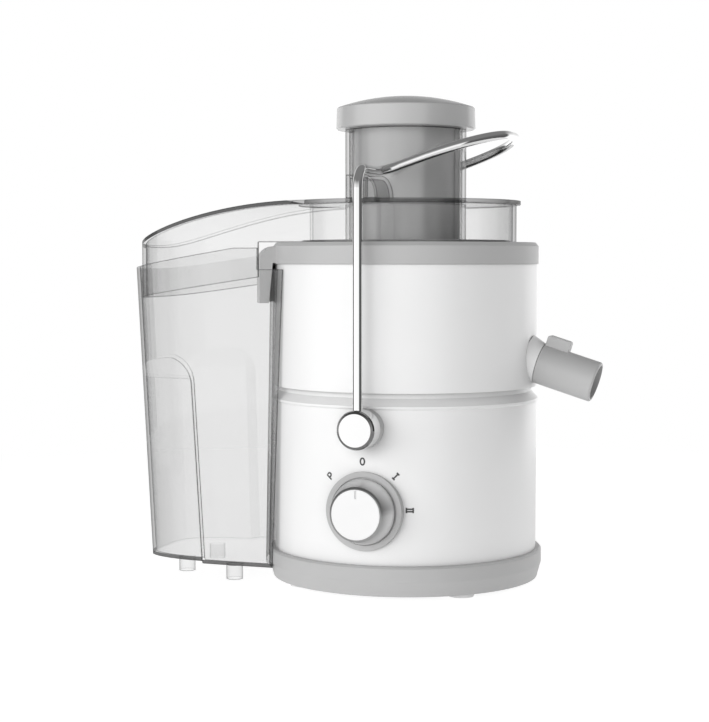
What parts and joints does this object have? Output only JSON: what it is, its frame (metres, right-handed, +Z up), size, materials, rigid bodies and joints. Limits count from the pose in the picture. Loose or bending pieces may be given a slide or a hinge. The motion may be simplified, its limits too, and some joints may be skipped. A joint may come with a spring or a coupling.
{
  "type": "electric juicer",
  "caption": "Centrifugal juice extractor: round motor base, collector with spout, spinning strainer basket, clear lid with feed chute, wire bail and a hanging pulp bin.",
  "frame": {"origin": "centre of the four feet on the table plane, on the spin axis of the basket", "axes": "+Z up along the spin axis, +X towards the spout with the pulp bin at -X, -Y towards the dial"},
  "size_m": [0.3184, 0.212, 0.3198],
  "materials": {
    "white_plastic": "smooth gloss, moulded",
    "grey_plastic": "fine satin, moulded",
    "dark_grey_plastic": "fine satin",
    "pusher_plastic": "fine satin, moulded",
    "clear_plastic": "clear, polished",
    "chrome": "mirror polish",
    "satin_metal": "turned and satin",
    "steel": "brushed",
    "brass": "plain",
    "copper": "enamelled wire and bars",
    "lamination": "stacked sheet",
    "pale_rubber": "matte",
    "black_rubber": "matte",
    "black_plastic": "matte"
  },
  "bodies": {
    "root": {"base_plate": "grey_plastic", "base_ring": "grey_plastic", "rubber_feet": "pale_rubber", "base_screws": "steel", "motor_housing": "white_plastic", "cord_gland": "dark_grey_plastic", "motor_mounts": "black_rubber", "lower_bracket": "steel", "upper_bracket": "steel", "stator_core": "lamination", "field_coils": "copper", "lower_bearing": "steel", "upper_bearing": "steel", "brush_holders": "brass", "carbon_brushes": "black_plastic", "shaft_seal": "black_rubber", "switch_body": "black_plastic", "safety_switch": "black_plastic", "dial_bezel": "grey_plastic", "pivot_bosses": "grey_plastic", "pivot_pins": "steel", "collector_shell": "white_plastic", "collector_ring": "grey_plastic", "juice_bowl": "grey_plastic", "spout_stub": "white_plastic", "feed_lid": "clear_plastic"},
    "rotor": {"motor_shaft": "steel", "armature_core": "lamination", "armature_windings": "copper", "commutator": "copper", "cooling_fan": "black_plastic", "drive_coupling": "black_plastic", "basket_base": "steel", "strainer_cone": "steel", "basket_rim": "black_plastic"},
    "dial": {"knob": "satin_metal", "knob_face": "white_plastic", "switch_spindle": "steel"},
    "bail": {"bail_rod": "chrome", "bail_hub_caps": "chrome"},
    "pusher": {"pusher_tube": "pusher_plastic", "pusher_cap": "pusher_plastic"},
    "spout": {"spout_sleeve": "grey_plastic"},
    "bin": {"pulp_bin": "clear_plastic"}
  },
  "joints": [
    {"name": "basket_spin", "type": "hinge", "parent": "root", "child": "rotor", "pos_m": [0, 0, 0.08], "axis": [0, 0, 1], "continuous": true},
    {"name": "knob_turn", "type": "hinge", "parent": "root", "child": "dial", "pos_m": [0, -0.09, 0.056], "axis": [0, 1, 0], "range_deg": [-45, 90]},
    {"name": "bail_swing", "type": "hinge", "parent": "root", "child": "bail", "pos_m": [0, 0, 0.108], "axis": [0, 1, 0], "range_deg": [0, 95]},
    {"name": "pusher_lift", "type": "slide", "parent": "root", "child": "pusher", "axis": [0, 0, 1], "range_m": [0, 0.12]},
    {"name": "spout_turn", "type": "hinge", "parent": "root", "child": "spout", "pos_m": [0.0915, 0, 0.145], "axis": [0.9537, 0, -0.3007], "range_deg": [0, 180]},
    {"name": "bin_tilt", "type": "hinge", "parent": "root", "child": "bin", "pos_m": [-0.09, 0, 0.206], "axis": [0, 1, 0], "range_deg": [0, 6]}
  ]
}
